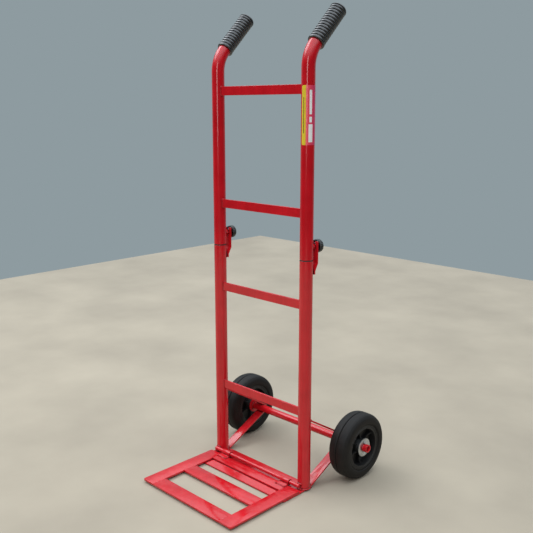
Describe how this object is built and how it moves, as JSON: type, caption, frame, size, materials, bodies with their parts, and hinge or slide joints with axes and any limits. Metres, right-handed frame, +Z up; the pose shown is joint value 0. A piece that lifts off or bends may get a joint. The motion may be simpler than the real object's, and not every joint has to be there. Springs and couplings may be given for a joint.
{
  "type": "hand truck",
  "caption": "Two-wheeled hand truck with a fold-up toe plate, bent tube handles with ribbed grips, flat cross bars and a lift-off upper frame locked by screw knobs.",
  "frame": {"origin": "on the underside of the base plate, midway between the two uprights' centre lines", "axes": "+X to the truck's right, +Y to its back where the wheels are, +Z up along the uprights"},
  "size_m": [0.473, 0.493, 1.165],
  "materials": {
    "red_enamel": "gloss enamel over welded steel",
    "tyre_rubber": "moulded solid rubber, matt",
    "rim_plastic": "moulded black plastic",
    "bush_steel": "drawn steel sleeve",
    "grip_rubber": "ribbed soft rubber",
    "label": "printed vinyl, no lettering",
    "zinc_plate": "zinc plated",
    "knob_plastic": "moulded black plastic",
    "bare_steel": "drawn steel tube, bare"
  },
  "bodies": {
    "lower_frame": {"base_plate": "red_enamel", "left_lower_upright": "red_enamel", "right_lower_upright": "red_enamel", "left_spigot": "bare_steel", "right_spigot": "bare_steel", "third_rung": "red_enamel", "bottom_rung": "red_enamel", "left_lower_strut": "red_enamel", "right_lower_strut": "red_enamel", "left_upper_strut": "red_enamel", "right_upper_strut": "red_enamel", "left_lock_strap": "red_enamel", "right_lock_strap": "red_enamel", "axle": "red_enamel", "left_inner_flange": "red_enamel", "right_inner_flange": "red_enamel", "left_outer_washer": "zinc_plate", "right_outer_washer": "zinc_plate", "left_cotter_pin": "zinc_plate", "right_cotter_pin": "zinc_plate", "hinge_rod": "red_enamel"},
    "upper_frame": {"left_upper_upright": "red_enamel", "right_upper_upright": "red_enamel", "top_rung": "red_enamel", "second_rung": "red_enamel", "left_lock_nut": "red_enamel", "right_lock_nut": "red_enamel", "left_grip": "grip_rubber", "right_grip": "grip_rubber", "label": "label"},
    "toe": {"toe_front_bar": "red_enamel", "toe_middle_bar": "red_enamel", "toe_rear_bar": "red_enamel", "toe_left_bar": "red_enamel", "toe_right_bar": "red_enamel", "left_toe_knuckle": "red_enamel", "right_toe_knuckle": "red_enamel"},
    "left_wheel": {"left_tyre": "tyre_rubber", "left_rim": "rim_plastic", "left_bush": "bush_steel"},
    "right_wheel": {"right_tyre": "tyre_rubber", "right_rim": "rim_plastic", "right_bush": "bush_steel"},
    "left_knob_carrier": {"left_knob_washer": "zinc_plate"},
    "left_knob": {"left_knob": "knob_plastic", "left_knob_stud": "zinc_plate"},
    "right_knob_carrier": {"right_knob_washer": "zinc_plate"},
    "right_knob": {"right_knob": "knob_plastic", "right_knob_stud": "zinc_plate"}
  },
  "joints": [
    {"name": "upper_frame_lift", "type": "slide", "parent": "lower_frame", "child": "upper_frame", "axis": [0, 0, 1], "range_m": [0, 0.07]},
    {"name": "toe_fold", "type": "hinge", "parent": "lower_frame", "child": "toe", "pos_m": [0, -0.021, 0.015], "axis": [-1, 0, 0], "range_deg": [0, 90]},
    {"name": "left_wheel_spin", "type": "hinge", "parent": "lower_frame", "child": "left_wheel", "pos_m": [-0.1985, 0.147, 0.085], "axis": [1, 0, 0], "continuous": true},
    {"name": "right_wheel_spin", "type": "hinge", "parent": "lower_frame", "child": "right_wheel", "pos_m": [0.1985, 0.147, 0.085], "axis": [1, 0, 0], "continuous": true},
    {"name": "left_knob_travel", "type": "slide", "parent": "upper_frame", "child": "left_knob_carrier", "axis": [0, 1, 0], "range_m": [0, 0.0026]},
    {"name": "left_knob_turn", "type": "hinge", "parent": "left_knob_carrier", "child": "left_knob", "pos_m": [-0.15, 0.0307, 0.612], "axis": [0, 1, 0], "range_deg": [0, 720]},
    {"name": "right_knob_travel", "type": "slide", "parent": "upper_frame", "child": "right_knob_carrier", "axis": [0, 1, 0], "range_m": [0, 0.0026]},
    {"name": "right_knob_turn", "type": "hinge", "parent": "right_knob_carrier", "child": "right_knob", "pos_m": [0.15, 0.0307, 0.612], "axis": [0, 1, 0], "range_deg": [0, 720]}
  ],
  "couplings": [
    {"joint": "left_knob_travel", "follows": "left_knob_turn", "m_per_rad": 0.00019894},
    {"joint": "right_knob_travel", "follows": "right_knob_turn", "m_per_rad": 0.00019894}
  ]
}
